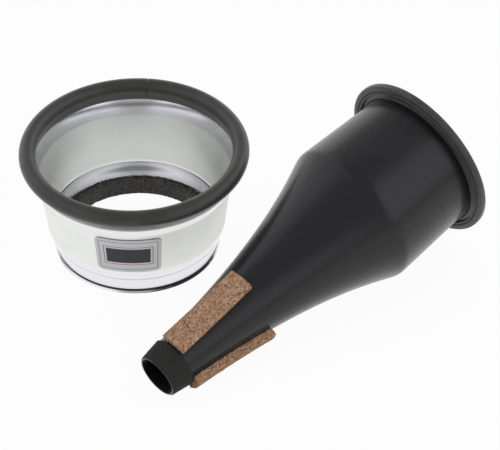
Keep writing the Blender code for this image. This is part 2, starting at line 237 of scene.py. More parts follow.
def disc_mesh(name, section, surface, body, replaced, steps=CONE_COLUMNS):
    """Turned solid whose section starts and ends on the axis: rings of quads with one fan at each end, so
    that both poles are closed."""
    ring = section[1:-1]
    around = round_cone(ring, full_turn(steps)).reshape(-1, 3)
    poles = np.array([THROAT + along * CONE_AXIS for along in (section[0, 1], section[-1, 1])])
    rows = len(ring)
    i, j = np.meshgrid(np.arange(rows - 1), np.arange(steps), indexing="ij")
    i, j = i.ravel(), j.ravel()
    after = (j + 1) % steps
    here, above = i * steps, (i + 1) * steps
    quads = np.column_stack([here + j, here + after, above + after, above + j])
    spoke = np.arange(steps)
    first, last = rows * steps, rows * steps + 1
    fan_start = np.column_stack([np.full(steps, first), (spoke + 1) % steps, spoke])
    base = (rows - 1) * steps
    fan_end = np.column_stack([np.full(steps, last), base + spoke, base + (spoke + 1) % steps])
    flat = np.vstack([around, poles])
    if points_in(flat, quads, fan_start, fan_end):
        quads, fan_start, fan_end = quads[:, ::-1], fan_start[:, ::-1], fan_end[:, ::-1]
    mesh = bpy.data.meshes.new(name)
    mesh.from_pydata(flat.tolist(), [], quads.tolist() + fan_start.tolist() + fan_end.tolist())
    mesh.shade_smooth()
    mesh.set_sharp_from_angle(angle=math.radians(BROAD_SHARP))
    place_piece(mesh, surface, body, replaced)


disc_along = flange_along + SHEET + FIT_GAP
face = disc_along + DISC_SHEET
step_run = np.linspace(0, 1, 9)
step_ease = step_run ** 2 * (3 - 2 * step_run)
plate_back = np.vstack([
    [[0.0, face - DISH_DEPTH]],
    np.column_stack([np.linspace(DISC_MIDDLE, DISH_RADIUS, 6), np.full(6, face - DISH_DEPTH)])[:-1],
    np.column_stack([DISH_RADIUS + DISH_RUN * step_run, face - DISH_DEPTH * (1 - step_ease)]),
    [[FLANGE_RADIUS - DISC_BROKEN, face], [FLANGE_RADIUS, face - DISC_BROKEN]],
])
plate_front = plate_back[::-1] - np.array([0.0, DISC_SHEET])
plate_front[0] = (FLANGE_RADIUS, disc_along + DISC_BROKEN)
plate_front[1] = (FLANGE_RADIUS - DISC_BROKEN, disc_along)
disc_mesh(
    "end_plate_dished", np.vstack([plate_back, plate_front]), black_coat, "mute_body",
    ["end_plate"])

# End edging
# Black rubber ring of U section, moulded in one and stretched over flange and disc. A round ridge runs
# along its front lip, with a groove outside it.
EDGING_GRIP = 0.0032
EDGING_COVER = 0.0014
EDGING_FRONT = 0.0004
EDGING_BACK = 0.0006
EDGING_CORNER = 0.0014
RIDGE_HEIGHT = 0.0008
RIDGE_WIDTH = 0.0014
RIDGE_SIDE = 0.2                # share of the ridge's width that each of its sides takes
GROOVE_RUN = 0.0009
GROOVE_OUTER_SIDE = 0.6         # share of that run in which the groove climbs to the rim
EDGING_SOFT = 0.0004            # rounding of ridge, groove and back lip
EDGING_CREASE = 0.0002          # rounding at the bottom of the groove
EDGING_LIP = 0.00015            # rounding of the front lip's inner edge
EDGING_SHARP = 0.0001           # rounding inside the slot
EDGING_COLUMNS = 288


def rounded(corners, cuts, steps=5):
    """Closed outline whose corners are each replaced by a parabola that leaves the sides at the given
    distance from the corner: (1-t)^2 of the start, 2t(1-t) of the corner and t^2 of the end."""
    corners = np.array(corners)
    cuts = np.array(cuts)[:, None]
    before = np.roll(corners, 1, axis=0) - corners
    after = np.roll(corners, -1, axis=0) - corners
    before /= np.linalg.norm(before, axis=1)[:, None]
    after /= np.linalg.norm(after, axis=1)[:, None]
    t = np.linspace(0, 1, steps)[None, :, None]
    start, end = (corners + cuts * before)[:, None], (corners + cuts * after)[:, None]
    return ((1 - t) ** 2 * start + 2 * t * (1 - t) * corners[:, None] + t ** 2 * end).reshape(-1, 2)


slot_front = flange_along - FIT_GAP
slot_back = disc_along + DISC_SHEET + FIT_GAP
ring_front = slot_front - EDGING_FRONT
ring_back = slot_back + EDGING_BACK
ring_inner = FLANGE_RADIUS - EDGING_GRIP
slot_radius = FLANGE_RADIUS + FIT_GAP
ring_rim = slot_radius + EDGING_COVER
ring_crest = ring_front - RIDGE_HEIGHT
ring_groove = ring_inner + RIDGE_WIDTH
ring_section = rounded(
    [
        (ring_inner, ring_back), (ring_rim, ring_back), (ring_rim, ring_crest),
        (ring_groove + GROOVE_RUN * GROOVE_OUTER_SIDE, ring_crest), (ring_groove, ring_front),
        (ring_inner + RIDGE_WIDTH * (1 - RIDGE_SIDE), ring_crest),
        (ring_inner + RIDGE_WIDTH * RIDGE_SIDE, ring_crest),
        (ring_inner, ring_front), (ring_inner, slot_front),
        (slot_radius, slot_front), (slot_radius, slot_back), (ring_inner, slot_back),
    ],
    [EDGING_SOFT] + [EDGING_CORNER - EDGING_SHARP] * 2 + [EDGING_SOFT, EDGING_CREASE]
    + [EDGING_SOFT] * 2 + [EDGING_LIP] + [EDGING_SHARP] * 4)

# Moulded rubber: a dull near-black with an olive cast, a soft grey highlight along each edge and a faint
# bloom in patches of about 6 mm. Its grit, 0.4 mm, keeps the highlights from looking wet.
ring_rubber, tree, shader = finish_named("moulded_black_rubber", Sheen_Weight=0.25, Sheen_Roughness=0.4)
where = add(tree, "TexCoord")
bloom = add(tree, "TexNoise", [("Vector", where.outputs["Object"])], Scale=160.0, Detail=4.0)
tone = add(
    tree, "ValToRGB", [("Fac", bloom.outputs["Fac"])], stops=((0.35, "#33342e"), (0.75, "#42433d")))
tree.links.new(tone.outputs["Color"], shader.inputs["Base Color"])
gloss = add(tree, "MapRange", [("Value", bloom.outputs["Fac"])], To_Min=0.38, To_Max=0.52)
tree.links.new(gloss.outputs["Result"], shader.inputs["Roughness"])
grit = add(tree, "TexNoise", [("Vector", where.outputs["Object"])], Scale=2600.0, Detail=2.0)
skin = add(tree, "Bump", [("Height", grit.outputs["Fac"])], Strength=0.2, Distance=0.00008)
tree.links.new(skin.outputs["Normal"], shader.inputs["Normal"])

grid_mesh(
    "end_edging_ring", round_cone(ring_section, full_turn(EDGING_COLUMNS)), ring_rubber,
    "mute_body", ["end_edging"])

# Throat sleeve
# Matt black sleeve pulled over the throat, a little fuzzy like a rubberised cloth tape. It covers all but
# the thin metal edge.
SLEEVE_START = 0.0003
SLEEVE_LENGTH = 0.0116
SLEEVE_WALL = 0.0010
SLEEVE_MOUTH_WALL = 0.0005      # it thins towards the throat's edge
SLEEVE_FIT = 0.00005            # it clings to the edge, and further in it has the usual gap
SLEEVE_BACK_EDGE = 0.0004       # rounding of its outer back edge
SLEEVE_MOUTH_EDGE = 0.0003      # and of its outer front edge
SLEEVE_BORE_EDGE = 0.0001
SLEEVE_STEP = 0.0004            # spacing of the section's points, fine enough for the fuzz
SLEEVE_FUZZ = 0.00003
SLEEVE_FUZZ_CELLS = (18, 70)    # about how many tufts along the section and round the sleeve


def field(shape, cells, seed):
    """Smooth seeded noise of unit strength that closes on itself both ways: white noise whose waves are
    damped by a bell of the given number of cells in each direction."""
    rng = np.random.default_rng(seed)
    rows = np.fft.fftfreq(shape[0]) * shape[0] / cells[0]
    columns = np.fft.fftfreq(shape[1]) * shape[1] / cells[1]
    bell = np.exp(-(rows[:, None] ** 2 + columns[None, :] ** 2))
    noise = np.fft.ifft2(np.fft.fft2(rng.normal(size=shape)) * bell).real
    return noise / noise.std()


def outward(points):
    """Unit normals of a grid that is closed both ways, from the steps along and across it."""
    along = np.roll(points, -1, axis=0) - np.roll(points, 1, axis=0)
    across = np.roll(points, -1, axis=1) - np.roll(points, 1, axis=1)
    normal = np.cross(along, across)
    normal /= np.linalg.norm(normal, axis=2)[..., None] + 1e-12
    return normal


def refined(section, step):
    """Closed section with points added so that none lie further apart than the step."""
    ends = np.roll(section, -1, axis=0)
    counts = np.maximum(1, np.ceil(np.linalg.norm(ends - section, axis=1) / step).astype(int))
    owner = np.repeat(np.arange(len(section)), counts)
    share = (np.arange(counts.sum()) - np.repeat(np.cumsum(counts) - counts, counts)) / counts[owner]
    return section[owner] + share[:, None] * (ends[owner] - section[owner])


sleeve_end = SLEEVE_START + SLEEVE_LENGTH
bore_start = flare_radius(SLEEVE_START) + SLEEVE_FIT
bore_end = flare_radius(sleeve_end) + FIT_GAP
sleeve_section = refined(rounded(
    [
        (bore_end, sleeve_end), (bore_end + SLEEVE_WALL, sleeve_end),
        (bore_start + SLEEVE_MOUTH_WALL, SLEEVE_START), (bore_start, SLEEVE_START),
    ],
    [SLEEVE_BORE_EDGE, SLEEVE_BACK_EDGE, SLEEVE_MOUTH_EDGE, SLEEVE_BORE_EDGE]), SLEEVE_STEP)
sleeve_points = round_cone(sleeve_section, full_turn(CONE_COLUMNS))
fuzz = SLEEVE_FUZZ * field(sleeve_points.shape[:2], SLEEVE_FUZZ_CELLS, 5)
sleeve_points = sleeve_points - outward(sleeve_points) * fuzz[..., None]

# Rubberised cloth: quite matt, black with a green-grey cast, and a felt-like mottle. Its fibres are far
# finer than a pixel and are drawn 0.5 mm wide so that they show.
sleeve_cloth, tree, shader = finish_named(
    "rubberised_cloth_sleeve", Roughness=0.85, Specular_IOR_Level=0.35)
where = add(tree, "TexCoord")
fibre = add(
    tree, "TexNoise", [("Vector", where.outputs["Object"])], Scale=1900.0, Detail=4.0, Roughness=0.7)
tone = add(
    tree, "ValToRGB", [("Fac", fibre.outputs["Fac"])], stops=((0.30, "#1f201c"), (0.72, "#34352f")))
tree.links.new(tone.outputs["Color"], shader.inputs["Base Color"])
skin = add(tree, "Bump", [("Height", fibre.outputs["Fac"])], Strength=0.5, Distance=0.0002)
tree.links.new(skin.outputs["Normal"], shader.inputs["Normal"])

grid_mesh(
    "throat_sleeve_cloth", sleeve_points, sleeve_cloth, "mute_body", ["throat_sleeve"])

# Cork strips
# Three strips cut from a sheet of pressed cork granules and glued by hand along the flare, roughly a
# third of a turn apart. They hold the mute in the bell. Their cut sides are ragged and their edges a
# little worn.
CORK_GAP_ALONG = 0.0008
CORK_LENGTH = 0.0486
CORK_WIDTH = 0.0123
CORK_THICKNESS = 0.0043
CORK_TURNS = (7, 127, 238)      # in degrees from the top towards -Y, not quite even
CORK_EDGE = 0.00035             # rounding of its edges
CORK_GRID = (44, 150, 16)       # faces across, along and through a strip, about 0.3 mm each
WEAR_DEPTH = 0.00008
WEAR_WAVE = 1500                # in radians per metre, so lumps of about 4 mm
CHIP_DEPTH = 0.00012
CHIP_WAVE = 3200                # chips of about 2 mm
CHIP_LEVEL = 0.8                # a chip is missing where the noise passes this


def block_surface(counts):
    """Points of a closed block's skin, each coordinate from 0 to 1, and its quads. The six faces are grids
    of the given counts along each direction, and shared edges are merged."""
    corners, faces, offset = [], [], 0
    for fixed in range(3):
        a, b = [k for k in range(3) if k != fixed]
        p, q = np.meshgrid(np.arange(counts[a] + 1), np.arange(counts[b] + 1), indexing="ij")
        i, j = np.meshgrid(np.arange(counts[a]), np.arange(counts[b]), indexing="ij")
        quad = (i * (counts[b] + 1) + j).ravel()
        quad = np.column_stack([quad, quad + counts[b] + 1, quad + counts[b] + 2, quad + 1])
        for end in (0, counts[fixed]):
            side = np.zeros((p.size, 3), int)
            side[:, a], side[:, b], side[:, fixed] = p.ravel(), q.ravel(), end
            outwards = (end > 0) == (fixed != 1)
            corners.append(side)
            faces.append((quad if outwards else quad[:, ::-1]) + offset)
            offset += len(side)
    points, owner = np.unique(np.vstack(corners), axis=0, return_inverse=True)
    return points / np.array(counts), owner.ravel()[np.vstack(faces)]


def worn_block(share, size, edge, wear):
    """Moves a block's skin, given as shares of its size, onto rounded edges: each point goes to the block
    inside, smaller by the edge radius, plus that radius less the wear along the way out."""
    place = share * size
    core = np.clip(place, edge, size - edge)
    out = place - core
    out /= np.linalg.norm(out, axis=1)[:, None] + 1e-12
    return core + out * (edge - wear)[:, None]


def lumps(place, scale, seed, waves=60):
    """Smooth seeded noise of unit strength in space: a sum of sines whose wave vectors are normally spread
    with the given number of radians per metre."""
    rng = np.random.default_rng(seed)
    vectors = rng.normal(size=(3, waves)) * scale
    return np.sin(place @ vectors + rng.uniform(0, 2 * np.pi, waves)).sum(axis=1) / math.sqrt(waves / 2)


# Pressed cork: matt, warm tan granules about 0.9 mm across in many shades, a fine grain inside each, and
# dark flecks of bark. Pits between the granules break the light up.
cork, tree, shader = finish_named("pressed_cork_granules", Roughness=0.88, Specular_IOR_Level=0.25)
where = add(tree, "TexCoord")
bend = add(tree, "TexNoise", [("Vector", where.outputs["Object"])], Scale=420.0, Detail=2.0)
warp = add(
    tree, "MixRGB", [("Color1", where.outputs["Object"]), ("Color2", bend.outputs["Color"])], Fac=0.0012)
granule = add(tree, "TexVoronoi", [("Vector", warp.outputs["Color"])], Scale=1150.0, Randomness=1.0)
shade = add(tree, "SeparateColor", [("Color", granule.outputs["Color"])])
tone = add(
    tree, "ValToRGB", [("Fac", shade.outputs["Red"])],
    stops=(
        (0.0, "#82593f"), (0.12, "#9a7355"), (0.35, "#ac8464"),
        (0.65, "#b89272"), (0.90, "#c7a386"), (1.0, "#d2b095")))
grain = add(
    tree, "TexNoise", [("Vector", where.outputs["Object"])], Scale=1500.0, Detail=4.0, Roughness=0.65)
grain_tone = add(
    tree, "MapRange", [("Value", grain.outputs["Fac"])],
    From_Min=0.3, From_Max=0.7, To_Min=0.78, To_Max=1.16)
mottled = add(
    tree, "MixRGB", [("Color1", tone.outputs["Color"]), ("Color2", grain_tone.outputs["Result"])],
    blend_type="MULTIPLY", Fac=0.8)
bark = add(tree, "TexNoise", [("Vector", where.outputs["Object"])], Scale=620.0, Detail=3.0, Roughness=0.7)
bark_mask = add(tree, "MapRange", [("Value", bark.outputs["Fac"])], From_Min=0.64, From_Max=0.70)
specked = add(
    tree, "MixRGB",
    [("Fac", bark_mask.outputs["Result"]), ("Color1", mottled.outputs["Color"])], Color2=linear("#4f2f1e"))
tree.links.new(specked.outputs["Color"], shader.inputs["Base Color"])
pits = add(
    tree, "Math", [(0, granule.outputs["Distance"]), (1, grain.outputs["Fac"])], operation="ADD")
skin = add(tree, "Bump", [("Height", pits.outputs["Value"])], Strength=0.55, Distance=0.0003)
tree.links.new(skin.outputs["Normal"], shader.inputs["Normal"])

cork_share, cork_faces = block_surface(CORK_GRID)
cork_size = np.array([CORK_WIDTH, CORK_LENGTH, CORK_THICKNESS])
for number, turn in enumerate(CORK_TURNS):
    wear = WEAR_DEPTH * (1 + lumps(cork_share * cork_size, WEAR_WAVE, 21 + number)) / 2
    chips = lumps(cork_share * cork_size, CHIP_WAVE, 31 + number)
    wear += CHIP_DEPTH * np.clip(chips - CHIP_LEVEL, 0, 1.5)
    block = worn_block(cork_share, cork_size, CORK_EDGE, wear)
    along = sleeve_end + CORK_GAP_ALONG + block[:, 1]
    base = flare_radius(along) + FIT_GAP
    lean = np.arctan((flare_radius(along + 1e-5) - flare_radius(along - 1e-5)) / 2e-5)
    angle = math.radians(turn) + (block[:, 0] - CORK_WIDTH / 2) / base
    reach = base + block[:, 2] * np.cos(lean)
    shift = along - block[:, 2] * np.sin(lean)
    around = np.cos(angle)[:, None] * CONE_UP + np.sin(angle)[:, None] * CONE_SIDE
    points = THROAT + shift[:, None] * CONE_AXIS + reach[:, None] * around
    mesh = bpy.data.meshes.new(f"cork_strip_granules_{number + 1}")
    faces = cork_faces[:, ::-1] if points_in(points, cork_faces) else cork_faces
    mesh.from_pydata(points.tolist(), [], faces.tolist())
    mesh.shade_smooth()
    place_piece(mesh, cork, "mute_body", [f"cork_strip_{number + 1}"])

# Cup
# The bowl is spun from aluminium sheet: a leaning wall left with the fine rings of the spinning tool, a
# polished flare at the mouth and a polished shoulder, and a base edge folded back outside as a band. It
# stands on a thin lip under a groove.
CUP_AXIS = np.array([-0.02514058, 0.041228, 0.0])
WALL_LEAN = 0.11
MOUTH_SPREAD = 0.0050
MOUTH_GROWTH = 0.0087
WALL_FOOT_RADIUS = 0.0472
WALL_FOOT_HEIGHT = 0.0170
MOUTH_EDGE_HEIGHT = 0.0574
BAND_TOP_RADIUS = 0.0453
BAND_TOP_HEIGHT = 0.0110
BAND_FOOT_RADIUS = 0.0435
BAND_FOOT_HEIGHT = 0.0028
BAND_SEAM = 0.0004
GROOVE_RADIUS = 0.0429
LIP_RADIUS = 0.0440
LIP_HEIGHT = 0.0015
COLLAR_RADIUS = 0.0424
COLLAR_HEIGHT = 0.0080
MOUTH_ZONE = 0.016              # the section's points lie closest together this near the mouth
CUP_COLUMNS = 300
SHOULDER_RISE = 1.6             # above 1, the inner shoulder leaves the collar upright and then turns out
SATIN_FOOT = (0.0160, 0.0185)   # heights between which polish gives way to the satin wall
SATIN_TOP = (0.0445, 0.0465)    # and the satin wall to the polished flare
GROOVE_SHADE_FOOT = (0.0010, 0.0013)   # heights between which the painted shade in the groove starts
GROOVE_SHADE_TOP = (0.0026, 0.0030)    # and ends


def wall_point(height, depth):
    """Points (radius, height) of the bowl's sheet at a depth under its outer face: a leaning line plus an
    exponential spread at the mouth, moved square to itself."""
    spread = MOUTH_SPREAD * np.exp((height - MOUTH_EDGE_HEIGHT) / MOUTH_GROWTH)
    slope = np.arctan(WALL_LEAN + spread / MOUTH_GROWTH)
    radius = WALL_FOOT_RADIUS + WALL_LEAN * (height - WALL_FOOT_HEIGHT) + spread
    return np.column_stack([radius - depth * np.cos(slope), height + depth * np.sin(slope)])


def round_cup(section, angles):
    """Turns a section of (radius, height) points about the cup's upright axis, starting on the +X side."""
    radius, height = section[:, 0, None, None], section[:, 1, None, None]
    around = np.column_stack([np.cos(angles), np.sin(angles), np.zeros(len(angles))])
    return CUP_AXIS + radius * around + height * np.array([0.0, 0.0, 1.0])


def between(tree, height, foot, top, ease):
    """1 between two heights and 0 beyond them: a step that rises over the foot's pair of heights times one
    that falls over the top's pair."""
    steps = [
        add(tree, "MapRange", [("Value", height)], interpolation_type=ease, From_Min=zero, From_Max=one)
        for zero, one in (foot, top[::-1])
    ]
    return add(
        tree, "Math", [(0, steps[0].outputs["Result"]), (1, steps[1].outputs["Result"])],
        operation="MULTIPLY")


wall_heights = np.concatenate([
    np.linspace(MOUTH_EDGE_HEIGHT, MOUTH_EDGE_HEIGHT - MOUTH_ZONE, 40),
    np.linspace(MOUTH_EDGE_HEIGHT - MOUTH_ZONE - 0.001, WALL_FOOT_HEIGHT, 18),
])
foot_radius = wall_point(np.array([WALL_FOOT_HEIGHT]), 0.0)[0, 0]
sink = np.linspace(1, 0, 9)[1:]
# The outer shoulder widens with height by a quarter of a sine wave.
shoulder = np.column_stack([
    BAND_TOP_RADIUS + (foot_radius - BAND_TOP_RADIUS) * np.sin(sink * np.pi / 2),
    BAND_TOP_HEIGHT + (WALL_FOOT_HEIGHT - BAND_TOP_HEIGHT) * sink,
])
# The base is set point by point, downwards: the seam over the band, the band's foot, the groove, the lip
# on the table and the edge of the bore. Small offsets round each edge.
base = np.array([
    (BAND_TOP_RADIUS - BAND_SEAM * 0.9, BAND_TOP_HEIGHT - BAND_SEAM * 0.35),
    (BAND_TOP_RADIUS - BAND_SEAM * 0.9, BAND_TOP_HEIGHT - BAND_SEAM * 0.65),
    (BAND_TOP_RADIUS, BAND_TOP_HEIGHT - BAND_SEAM),
    (BAND_FOOT_RADIUS + 0.00007, BAND_FOOT_HEIGHT + 0.00030),
    (BAND_FOOT_RADIUS - 0.00008, BAND_FOOT_HEIGHT + 0.00004),
    (GROOVE_RADIUS + 0.00008, BAND_FOOT_HEIGHT - 0.00035),
    (GROOVE_RADIUS, (BAND_FOOT_HEIGHT + LIP_HEIGHT) / 2),
    (GROOVE_RADIUS + 0.00003, LIP_HEIGHT + 0.00015),
    (GROOVE_RADIUS + 0.00025, LIP_HEIGHT - 0.00020),
    (LIP_RADIUS - 0.00012, 0.00050),
    (LIP_RADIUS, 0.00028),
    (LIP_RADIUS - 0.00010, 0.00008),
    (LIP_RADIUS - 0.00030, 0.0),
    (COLLAR_RADIUS + 0.0001, 0.0),
    (COLLAR_RADIUS, 0.0001),
])
inner_wall = wall_point(wall_heights[::-1], SHEET)
rise = np.linspace(0, 1, 30)[:-1]
rise_ease = 1 - (1 - rise ** SHOULDER_RISE) ** 2
inner_heights = COLLAR_HEIGHT + (inner_wall[0, 1] - COLLAR_HEIGHT) * rise
inner_shoulder = np.column_stack([
    COLLAR_RADIUS + (wall_point(inner_heights, SHEET)[:, 0] - COLLAR_RADIUS) * rise_ease, inner_heights])
cup_section = np.vstack([wall_point(wall_heights, 0.0), shoulder, base, inner_shoulder, inner_wall])

# Spun aluminium: the eye sees an even pale satin wall with fine level lines, and polished metal on flare,
# shoulder and band, which mirrors its surroundings softly and stretches each highlight round the cup. The
# tool's rings are finer than a pixel and are drawn 0.8 mm wide. The groove's dark line is painted shade.
spun_aluminium, tree, shader = finish_named(
    "spun_aluminium", Metallic=1.0, Anisotropic=0.35, Anisotropic_Rotation=0.25)
turned = add(tree, "Tangent", direction_type="UV_MAP", uv_map="turned")
tree.links.new(turned.outputs["Tangent"], shader.inputs["Tangent"])
where = add(tree, "TexCoord")
place = add(tree, "SeparateXYZ", [("Vector", where.outputs["Object"])])
height_only = add(tree, "CombineXYZ", [("Z", place.outputs["Z"])])
rings = add(
    tree, "TexNoise", [("Vector", height_only.outputs["Vector"])], Scale=1300.0, Detail=2.0, Roughness=0.6)
cloud = add(tree, "TexNoise", [("Vector", where.outputs["Object"])], Scale=60.0, Detail=3.0)
tone = add(
    tree, "ValToRGB", [("Fac", cloud.outputs["Fac"])], stops=((0.3, "#eff1ec"), (0.7, "#f5f7f2")))
satin = between(tree, place.outputs["Z"], SATIN_FOOT, SATIN_TOP, "LINEAR")
tint = add(
    tree, "MixRGB", [("Fac", satin.outputs["Value"]), ("Color2", tone.outputs["Color"])],
    Color1=linear("#ebebee"))
# Painted shade: the base colour turns dark grey in the groove above the lip, where shade falls.
groove_shade = between(tree, place.outputs["Z"], GROOVE_SHADE_FOOT, GROOVE_SHADE_TOP, "SMOOTHSTEP")
groove_shaded = add(
    tree, "MixRGB", [("Fac", groove_shade.outputs["Value"]), ("Color1", tint.outputs["Color"])],
    Color2=linear("#3c3c40"))
tree.links.new(groove_shaded.outputs["Color"], shader.inputs["Base Color"])
gloss = add(tree, "MapRange", [("Value", satin.outputs["Value"])], To_Min=0.16, To_Max=0.46)
scratch = add(tree, "MapRange", [("Value", rings.outputs["Fac"])], To_Min=-0.03, To_Max=0.03)
uneven = add(
    tree, "Math", [(0, gloss.outputs["Result"]), (1, scratch.outputs["Result"])], operation="ADD")
tree.links.new(uneven.outputs["Value"], shader.inputs["Roughness"])
skin = add(tree, "Bump", [("Height", rings.outputs["Fac"])], Strength=0.05, Distance=0.00005)
tree.links.new(skin.outputs["Normal"], shader.inputs["Normal"])

grid_mesh(
    "cup_shell_spun", round_cup(cup_section, full_turn(CUP_COLUMNS)), spun_aluminium,
    "cup", ["cup_shell"])

# Rim edging
# Black rubber edging with a round bead, extruded as a length, pressed over the bowl's flared edge and
# joined end to end at the back, where the butt joint shows as a fine line.
BEAD_RADIUS = 0.0044
BEAD_RISE = 0.0032
BEAD_INSET = 0.0010
SKIRT_COVER = 0.0060
SKIRT_EDGE = 0.0005
JOINT_ANGLE = math.radians(41)  # where the ends meet, from +X towards +Y
JOINT_WIDTH = 0.00032
JOINT_DEPTH = 0.00030
JOINT_RADIUS = 0.058            # the bead's distance from the cup's axis
JOINT_REACH = 0.030             # angle on each side of the joint where the points lie closer together
RIM_STEP = 0.0009               # spacing of the section's points
SKIRT_REFLECTION_FADE = 0.0072             # length over which the painted reflection of the floor grows on the skirt
SKIRT_REFLECTION_PAST = 0.0010        # the fade would end this far past the skirt's tip


def tangent_angle(point, middle, radius, side):
    """Angle in degrees where the tangent from a point touches a circle, on side 1 or -1."""
    across, up = point[0] - middle[0], point[1] - middle[1]
    reach = math.acos(radius / math.hypot(across, up))
    return math.degrees(math.atan2(up, across) + side * reach)


skirt_height = MOUTH_EDGE_HEIGHT - SKIRT_COVER
inner_height = skirt_height + SKIRT_COVER / 3
edge_radius = wall_point(np.array([MOUTH_EDGE_HEIGHT]), 0.0)[0, 0]
bead_middle = (edge_radius - BEAD_INSET, MOUTH_EDGE_HEIGHT + BEAD_RISE)
inner_tip = wall_point(np.array([inner_height]), SHEET + FIT_GAP + SKIRT_EDGE)[0]
outer_tip = wall_point(np.array([skirt_height]), -FIT_GAP - SKIRT_EDGE)[0]
edge_slope = math.atan(WALL_LEAN + MOUTH_SPREAD / MOUTH_GROWTH)
beyond = FIT_GAP * np.array([math.sin(edge_slope), math.cos(edge_slope)])
# The slot that grips the sheet: its two faces, each a gap away, and its end a gap past the sheet's edge.
slot_outer = wall_point(np.linspace(skirt_height, MOUTH_EDGE_HEIGHT, 9), -FIT_GAP)
slot_inner = wall_point(np.linspace(MOUTH_EDGE_HEIGHT, inner_height, 7), SHEET + FIT_GAP)
slot_outer[-1] += beyond
slot_inner[0] += beyond
bead = arc(
    bead_middle, BEAD_RADIUS,
    tangent_angle(inner_tip, bead_middle, BEAD_RADIUS, -1) + 360,
    tangent_angle(outer_tip, bead_middle, BEAD_RADIUS, 1), 56)
skirt_end = np.linalg.norm(np.diff(np.vstack([inner_tip, bead, outer_tip]), axis=0), axis=1).sum()
rim_section = refined(np.vstack([inner_tip, bead, outer_tip, slot_outer, slot_inner]), RIM_STEP)

near_joint = np.linspace(-JOINT_REACH, JOINT_REACH, 61)
far_from_joint = np.linspace(JOINT_REACH, 2 * np.pi - JOINT_REACH, 282)[1:-1]
rim_angles = np.concatenate([near_joint, far_from_joint]) + JOINT_ANGLE
# The joint is a dent with the outline of a bell curve.
off_joint = (np.mod(rim_angles - JOINT_ANGLE + np.pi, 2 * np.pi) - np.pi) * JOINT_RADIUS
joint = JOINT_DEPTH * np.exp(-(off_joint / JOINT_WIDTH) ** 2)


def moved_out(points, distance):
    """Points of a closed grid moved along its normals by a distance, counted outwards from the middle of
    each section."""
    normal = outward(points)
    facing = np.sign(np.einsum("ijk,ijk->", normal, points - points.mean(axis=0, keepdims=True)))
    return points + facing * normal * distance[..., None]


# Extruded rubber: near-black with an olive cast and a soft highlight along the bead. The outer skirt
# turns pale grey towards its edge: a painted reflection of the white floor. Bloom clouds it in patches of
# about 11 mm.
rim_rubber, tree, shader = finish_named("extruded_black_rubber", Sheen_Weight=0.25, Sheen_Roughness=0.4)
where = add(tree, "TexCoord")
bloom = add(tree, "TexNoise", [("Vector", where.outputs["Object"])], Scale=90.0, Detail=4.0)
tone = add(
    tree, "ValToRGB", [("Fac", bloom.outputs["Fac"])], stops=((0.35, "#2e2f2a"), (0.75, "#3c3d37")))
gloss = add(tree, "MapRange", [("Value", bloom.outputs["Fac"])], To_Min=0.31, To_Max=0.41)
tree.links.new(gloss.outputs["Result"], shader.inputs["Roughness"])
turned = add(tree, "UVMap", uv_map="turned")
run = add(tree, "SeparateXYZ", [("Vector", turned.outputs["UV"])])
# Painted reflection: the outer skirt's base colour turns pale grey towards its tip, standing in for the
# white floor it mirrors.
skirt_floor_reflection = add(
    tree, "MapRange", [("Value", run.outputs["Y"])], interpolation_type="SMOOTHSTEP",
    From_Min=skirt_end + SKIRT_REFLECTION_PAST - SKIRT_REFLECTION_FADE, From_Max=skirt_end + SKIRT_REFLECTION_PAST)
skirt_reflected = add(
    tree, "MixRGB", [("Fac", skirt_floor_reflection.outputs["Result"]), ("Color1", tone.outputs["Color"])],
    Color2=linear("#cfcfc6"))
tree.links.new(skirt_reflected.outputs["Color"], shader.inputs["Base Color"])
grit = add(tree, "TexNoise", [("Vector", where.outputs["Object"])], Scale=2200.0, Detail=2.0)
skin = add(tree, "Bump", [("Height", grit.outputs["Fac"])], Strength=0.12, Distance=0.00008)
tree.links.new(skin.outputs["Normal"], shader.inputs["Normal"])

rim_points = moved_out(round_cup(rim_section, rim_angles), -joint[None, :])
grid_mesh("rim_edging_bead", rim_points, rim_rubber, "cup", ["rim_edging"])

# Collar felt
# A band of thick black felt glued inside the base, which slides and grips on the cone. Its cut edges are
# ragged, and loose fibres stand out of them.
FELT_BORE = 0.0382
FELT_THICKNESS = 0.0035
FELT_RECESS = 0.0003
FELT_PROUD = 0.0007
FELT_FOOT_EDGE = 0.0006         # rounding of the bore's lower edge
FELT_TOP_EDGE = 0.0009          # and of its upper edge
FELT_GLUED_EDGE = 0.0003
FELT_STEP = 0.0004              # spacing of the section's points
FELT_COLUMNS = 640
RAGGED = (                      # height, cells along the section and round the band, and seed
    (0.00016, (12, 110), 11),
    (0.00012, (30, 300), 12),
)
STANDING = (                    # the same for how far the tufts of the top edge stand up
    (1.0, (6, 150), 13),
    (0.8, (10, 300), 14),
)
RAGGED_FROM_METAL = 0.0008      # the raggedness grows over this distance from the metal
RAGGED_FROM_TABLE = 0.0012
TUFT_HEIGHT = 0.00055
TUFT_ZONE = 0.0016              # the top edge rises and falls over this depth
FELT_FIBRES = 4200
FIBRE_RADIUS = 0.00010
FIBRE_SHORTEST = 0.0014
FIBRE_LONGEST = 0.0028
FIBRE_INSET = 0.0002            # fibres start this far inside the bore
FIBRE_EDGE = 0.0004             # and this far from the metal and below the top
FIBRE_DIP = 0.0005              # and up to this much lower near the bore
FIBRE_SCATTER = 0.7             # how far they lean at random, against FIBRE_UPWARDS
FIBRE_UPWARDS = 0.9
TUFT_WAVE = 1300                # in radians per metre, so tufts about 5 mm apart

